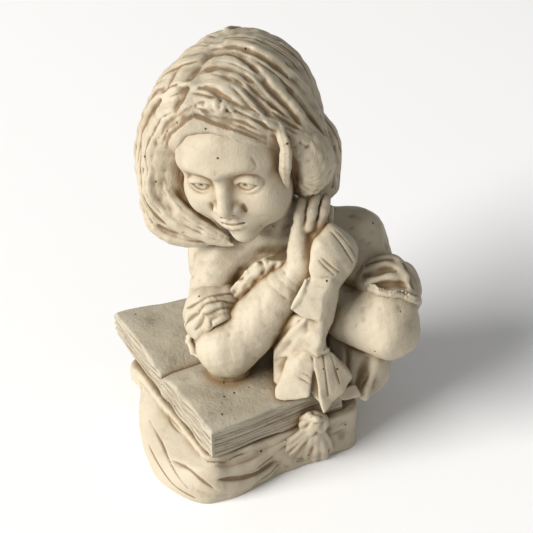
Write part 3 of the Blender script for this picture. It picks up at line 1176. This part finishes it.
def rosette_clay():
    clay = Clay(span("swag_rosette", margin=6), 0.8)
    draw = np.random.default_rng(131)
    knot = ROSETTE + (-2, 2, 4)
    clay.add(gem(around(ROSETTE, ((-10, 8, 2), (8, 10, 2), (16, 19, -40), (-26, 4, -42), (-2, -1, -4),
                                  (-12, 4, -42), (11, 14, -40), (0, 24, -10))), 3.0))
    for k, points in enumerate(PLEATS):
        path = curve(around(ROSETTE, points), 9)
        clay.add(roll(path, np.linspace(2.0, 4.2 + 0.9 * math.sin(2.1 * k), 9)), 3.2)
    clay.add(egg(knot + (0, 4, 0), (12, 8.8, 10)), 3.0)
    for points, size in KNOT_FOLDS:
        path = curve([knot + p + draw.uniform(-0.8, 0.8, 3) for p in points], 8)
        clay.add(roll(path, taper(8, 0.9 * size)), 2.8)
    for start, end in (((-8, 2, 2), (-26, -2, -12)), ((-9, 0, -4), (-28, -3, -20)),
                       ((-9, -1, -8), (-26, -2, -28))):
        middle = (np.array(start) + end) / 2 + (0, -1, -1)
        clay.add(roll(curve([ROSETTE + start, ROSETTE + middle, ROSETTE + end], 7),
                      np.linspace(2.0, 3.2, 7)), 2.0)
    return clay.roughen(11, 0.3, seed=132).keep_above(0.0)


# ---------- materials ----------

PALE = (0.50, 0.442, 0.335)
BODY = (0.45, 0.385, 0.28)
PATINA = (0.25, 0.16, 0.075)
STAIN = (0.34, 0.25, 0.145)
DUST = (0.22, 0.185, 0.13)
PAGE_PALE = (0.48, 0.43, 0.335)
PAGE_BODY = (0.40, 0.355, 0.265)
PIT = (0.035, 0.024, 0.014)
PIT_RARITY = 0.72                            # the share of the pattern's cells that hold no air pit


def new_material(name):
    m = bpy.data.materials.new(name)
    m.use_nodes = True
    tree = m.node_tree
    tree.nodes.clear()
    return m, tree


def node(tree, kind, values=None, **settings):
    n = tree.nodes.new("ShaderNode" + kind)
    for key, value in settings.items():
        setattr(n, key, value)
    for key, value in (values or {}).items():
        n.inputs[key].default_value = value
    return n


def wire(tree, a, a_socket, b, b_socket):
    tree.links.new(a.outputs[a_socket], b.inputs[b_socket])


def noise(tree, place, scale, detail=4.0, rough=0.55):
    n = node(tree, "TexNoise", {"Scale": scale, "Detail": detail, "Roughness": rough})
    wire(tree, place, "Object", n, "Vector")
    return n


def bump(tree, height, distance, strength=1.0, below=None, **settings):
    """Raises the skin where a noise, or another 0 to 1 value, is high."""
    n = node(tree, "Bump", {"Strength": strength, "Distance": distance}, **settings)
    wire(tree, height, "Fac" if "Fac" in height.outputs else 0, n, "Height")
    if below:
        wire(tree, below, "Normal", n, "Normal")
    return n


def remap(tree, source, socket, low, high, to_low=0.0, to_high=1.0):
    n = node(tree, "MapRange", {"From Min": low, "From Max": high, "To Min": to_low, "To Max": to_high})
    wire(tree, source, socket, n, "Value")
    return n


def blend_colour(tree, factor, factor_socket, a, b):
    """Mixes two colours, each a node's output or a plain colour."""
    n = node(tree, "Mix", data_type="RGBA")
    tree.links.new(factor.outputs[factor_socket], n.inputs[0])
    for slot, value in ((6, a), (7, b)):
        if isinstance(value, tuple):
            n.inputs[slot].default_value = (*value, 1.0)
        else:
            tree.links.new(value.outputs[2 if value.bl_idname == "ShaderNodeMix" else 0], n.inputs[slot])
    return n


def strand_bump(tree, below):
    """Fine combed strands that run along the locks."""
    across = node(tree, "Attribute", attribute_name="across")
    along = node(tree, "Attribute", attribute_name="along")
    place = node(tree, "CombineXYZ")
    for socket, source, scale in ((0, across, 7.0), (1, along, 0.35)):
        stretch = node(tree, "Math", {1: scale}, operation="MULTIPLY")
        wire(tree, source, "Fac", stretch, 0)
        wire(tree, stretch, 0, place, socket)
    grain = node(tree, "TexNoise", {"Scale": 1.0, "Detail": 3.0, "Roughness": 0.6})
    wire(tree, place, 0, grain, "Vector")
    return bump(tree, grain, 0.0013, 0.8, below), grain


def leaf_bump(tree, place, up, below):
    """Fine leaves on the upright edges of the book."""
    thin = node(tree, "Mapping", {"Scale": (7.0, 7.0, 620.0)})
    wire(tree, place, "Object", thin, "Vector")
    leaves = node(tree, "TexNoise", {"Scale": 1.0, "Detail": 3.0, "Roughness": 0.7})
    wire(tree, thin, "Vector", leaves, "Vector")
    upright = remap(tree, up, "Z", 0.35, 0.75, 1.0, 0.0)
    edges = bump(tree, leaves, 0.0022, below=below)
    wire(tree, upright, "Result", edges, "Strength")
    return edges


def marble_material(name, pale, body, patina, dirt_amount, rough, combed=False, leaves=False):
    """Cast marble: pale on the crests, tanned in the hollows, freckled with air pits."""
    m, tree = new_material(name)
    place = node(tree, "TexCoord")
    hollow = node(tree, "Attribute", attribute_name="hollow")
    crease = node(tree, "Attribute", attribute_name="crease")
    cloud = noise(tree, place, 16.0, 5.0, 0.6)
    grime = noise(tree, place, 55.0, 6.0, 0.7)
    fine = noise(tree, place, 420.0, 4.0, 0.6)

    tint = remap(tree, cloud, "Fac", 0.35, 0.68)
    colour = blend_colour(tree, tint, "Result", body, pale)

    broken = node(tree, "Math", {1: 0.28}, operation="MULTIPLY_ADD")
    wire(tree, grime, "Fac", broken, 0)
    wire(tree, hollow, "Fac", broken, 2)
    tan = remap(tree, broken, 0, 0.41, 0.68, 0.0, 0.95)
    colour = blend_colour(tree, tan, "Result", colour, patina)

    lines = remap(tree, crease, "Fac", 0.03, 0.26, 0.0, 0.90)
    colour = blend_colour(tree, lines, "Result", colour, tuple(c * 0.72 for c in patina))

    stain = noise(tree, place, 8.0, 7.0, 0.65)
    cast = remap(tree, stain, "Fac", 0.50, 0.70, 0.0, 0.28)
    colour = blend_colour(tree, cast, "Result", colour, STAIN)

    up = node(tree, "SeparateXYZ")
    wire(tree, place, "Normal", up, 0)
    laid = remap(tree, up, "Z", 0.60, 1.0, 0.0, 0.16)
    colour = blend_colour(tree, laid, "Result", colour, DUST)

    smear = remap(tree, grime, "Fac", 0.54, 0.70, 0.0, dirt_amount)
    colour = blend_colour(tree, smear, "Result", colour, tuple(c * 0.62 for c in body))

    cells = node(tree, "TexVoronoi", {"Scale": 95.0, "Randomness": 1.0})
    wire(tree, place, "Object", cells, "Vector")
    pick = node(tree, "SeparateColor")
    wire(tree, cells, "Color", pick, "Color")
    rare = node(tree, "Math", {1: PIT_RARITY}, operation="GREATER_THAN")
    wire(tree, pick, "Red", rare, 0)
    near = remap(tree, cells, "Distance", 0.05, 0.11, 1.0, 0.0)
    pit = node(tree, "Math", operation="MULTIPLY")
    wire(tree, rare, 0, pit, 0)
    wire(tree, near, "Result", pit, 1)
    colour = blend_colour(tree, pit, 0, colour, PIT)

    shader = node(tree, "BsdfPrincipled", {"IOR": 1.49, "Specular IOR Level": 0.35})
    gloss = remap(tree, cloud, "Fac", 0.3, 0.7, rough - 0.08, rough + 0.10)
    wire(tree, gloss, "Result", shader, "Roughness")

    grain = bump(tree, fine, 0.0008, 0.5)
    skin = bump(tree, grime, 0.0016, 1.0 if leaves else 0.5, grain)
    if leaves:
        skin = leaf_bump(tree, place, up, skin)
    if combed:
        skin, strands = strand_bump(tree, skin)
        between = remap(tree, strands, "Fac", 0.46, 0.34, 0.0, 0.3)
        colour = blend_colour(tree, between, "Result", colour, patina)
    tree.links.new(colour.outputs[2], shader.inputs["Base Color"])
    holes = bump(tree, pit, 0.001, below=skin, invert=True)
    wire(tree, holes, "Normal", shader, "Normal")
    out = node(tree, "OutputMaterial")
    wire(tree, shader, 0, out, 0)
    return m


def grained_material(name, dark, light, scale, rough, metallic=0.0):
    m, tree = new_material(name)
    place = node(tree, "TexCoord")
    stretch = node(tree, "Mapping", {"Scale": (scale, scale, scale * 0.08)})
    wire(tree, place, "Object", stretch, "Vector")
    grain = node(tree, "TexNoise", {"Scale": 1.0, "Detail": 5.0})
    wire(tree, stretch, "Vector", grain, "Vector")
    colour = blend_colour(tree, grain, "Fac", dark, light)
    shader = node(tree, "BsdfPrincipled", {"Roughness": rough, "Metallic": metallic})
    tree.links.new(colour.outputs[2], shader.inputs["Base Color"])
    wire(tree, bump(tree, grain, 0.0004, 0.4), "Normal", shader, "Normal")
    out = node(tree, "OutputMaterial")
    wire(tree, shader, 0, out, 0)
    return m


# ---------- from clay to pieces ----------

class Shade:
    """How deep each place lies in the whole group, for the patina."""

    def __init__(self, clays, step=2.5):
        self.block = Clay((np.array(cad_low) / MM - 14, np.array(cad_high) / MM + 14), step / COARSEN)
        filled = np.zeros(self.block.field.shape, np.float32)
        for clay in clays:
            high = clay.low + clay.step * (np.array(clay.field.shape) - 1)
            cut, p = self.block.window(clay.low, high)
            points = np.stack(np.broadcast_arrays(*p), -1).reshape(-1, 3)
            there = np.clip(0.5 - clay.sample(points) / step, 0, 1).reshape(filled[cut].shape)
            filled[cut] = np.maximum(filled[cut], there)
        for _ in range(2):
            filled = box_blur(filled, 2)
        self.filled = filled

    def at(self, points):
        return self.block.sample(points, self.filled)


def make_piece(name, clay, shade, material):
    points, quads = clay.mesh()
    mesh = bpy.data.meshes.new(name)
    mesh.vertices.add(len(points))
    mesh.vertices.foreach_set("co", (points * MM).ravel())
    mesh.loops.add(quads.size)
    mesh.loops.foreach_set("vertex_index", quads.ravel())
    mesh.polygons.add(len(quads))
    mesh.polygons.foreach_set("loop_start", np.arange(0, quads.size, 4))
    mesh.update(calc_edges=True)
    mesh.polygons.foreach_set("use_smooth", np.ones(len(quads), bool))
    out = clay.slope(points)
    depth = shade.at(points + out * 3.0)
    blurred = box_blur(clay.field, max(1, round(2.0 / clay.step)))
    crease = np.clip(-clay.sample(points, blurred) / 0.9, 0, 1)
    layers = [("hollow", depth), ("crease", crease)]
    if name.endswith("hair"):
        layers += zip(("across", "along"), hair_flow(points))
    for label, values in layers:
        layer = mesh.attributes.new(label, "FLOAT", "POINT")
        layer.data.foreach_set("value", values.astype(np.float32))
    mesh.materials.append(material)
    piece = bpy.data.objects.new(name, mesh)
    bpy.context.scene.collection.objects.link(piece)
    return piece


MAKERS = (
    (("head",), head_clay),
    (("hair",), hair_clay),
    (("torso", "neck", "right_upper_arm"), flesh_clays),
    (("right_forearm", "right_hand"), forearm_clays),
    (("left_forearm",), left_forearm_clay),
    (("right_sleeve",), right_sleeve_clay),
    (("left_sleeve",), left_sleeve_clay),
    (("neckline_frill",), frill_clay),
    (("dress_side",), dress_clay),
    (("scarf_loop", "scarf_flap", "scarf_knot", "scarf_tail_striped", "scarf_tail_plain"), scarf_clays),
    (("pages_right", "pages_left"), page_clays),
    (("plinth_shell",), plinth_clay),
    (("plinth_drapery",), drapery_clay),
    (("swag_rosette",), rosette_clay),
)


def build():
    marble = marble_material("cast_marble", PALE, BODY, PATINA, 0.32, 0.50)
    pages = marble_material("cast_marble_pages", PAGE_PALE, PAGE_BODY, PATINA, 0.70, 0.62, leaves=True)
    hair = marble_material("cast_marble_hair", PALE, BODY, PATINA, 0.35, 0.50, combed=True)
    clays = {}
    for names, maker in MAKERS:
        made = maker()
        clays.update(zip(names, made if len(names) > 1 else (made,)))
    shade = Shade(clays.values())
    for name, clay in clays.items():
        is_page = name.startswith("pages")
        material = pages if is_page else hair if name == "hair" else marble
        piece = make_piece("carved_" + name, clay, shade, material)
        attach(piece, "root")
        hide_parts(name)


def dress_hidden_nodes():
    """The dowel and the bars stay as CAD made them, in their own materials."""
    wood = grained_material("dowel_wood", (0.30, 0.17, 0.08), (0.52, 0.34, 0.18), 900.0, 0.7)
    iron = grained_material("bar_iron", (0.05, 0.045, 0.04), (0.16, 0.13, 0.11), 700.0, 0.55, metallic=0.8)
    for name, material in (("neck_dowel", wood), ("right_arm_bar", iron), ("left_arm_bar", iron)):
        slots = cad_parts[name].data.materials
        if len(slots):
            slots[0] = material
        else:
            slots.append(material)


# ---------- stage ----------

FLOOR_REACH = 4.0                            # metres from the middle to each side
FLOOR_GREY = 0.95
KEY_PLACE = (-10.0, -5.2, 6.1)
KEY_AIM = (0, 0, 0.18)
KEY_SIZE = 8.0
KEY_POWER = 2850.0
KEY_COLOUR = (1.0, 0.985, 0.96)
SKY_STRENGTH = 0.30
CAMERA_RISE = 35.0                           # degrees above the floor
CAMERA_DISTANCE = 1.0
CAMERA_AIM = (0.0032, -0.0015, 0.47 * TALL * MM)
LENS = 81.05
SENSOR = 36.0


def add_floor():
    mesh = bpy.data.meshes.new("floor")
    s = FLOOR_REACH
    mesh.from_pydata([(-s, -s, 0), (s, -s, 0), (s, s, 0), (-s, s, 0)], [], [(0, 1, 2, 3)])
    floor = bpy.data.objects.new("floor", mesh)
    bpy.context.scene.collection.objects.link(floor)
    m, tree = new_material("floor_white")
    shader = node(tree, "BsdfPrincipled", {"Base Color": (FLOOR_GREY, FLOOR_GREY, FLOOR_GREY, 1),
                                           "Roughness": 0.9})
    out = node(tree, "OutputMaterial")
    wire(tree, shader, 0, out, 0)
    mesh.materials.append(m)


def add_key_lamp():
    light = bpy.data.lights.new("key", "AREA")
    light.size = KEY_SIZE
    light.energy = KEY_POWER
    light.color = KEY_COLOUR
    lamp = bpy.data.objects.new("key", light)
    lamp.location = KEY_PLACE
    lamp.rotation_euler = (Vector(KEY_AIM) - Vector(KEY_PLACE)).to_track_quat("-Z", "Y").to_euler()
    bpy.context.scene.collection.objects.link(lamp)


def add_camera():
    rise = math.radians(CAMERA_RISE)
    aim = Vector(CAMERA_AIM)
    back = Vector((0, -math.cos(rise), math.sin(rise)))
    data = bpy.data.cameras.new("camera")
    data.lens = LENS
    data.sensor_width = SENSOR
    camera = bpy.data.objects.new("camera", data)
    camera.location = aim + back * CAMERA_DISTANCE
    camera.rotation_euler = (-back).to_track_quat("-Z", "Y").to_euler()
    bpy.context.scene.collection.objects.link(camera)
    bpy.context.scene.camera = camera


def add_stage():
    add_floor()
    add_key_lamp()
    world = bpy.data.worlds.new("studio")
    bpy.context.scene.world = world
    world.use_nodes = True
    sky = world.node_tree.nodes["Background"]
    sky.inputs[0].default_value = (1.0, 1.0, 1.0, 1)
    sky.inputs[1].default_value = SKY_STRENGTH
    bpy.context.scene.view_settings.view_transform = "Standard"


add_camera()
add_stage()
build()
dress_hidden_nodes()
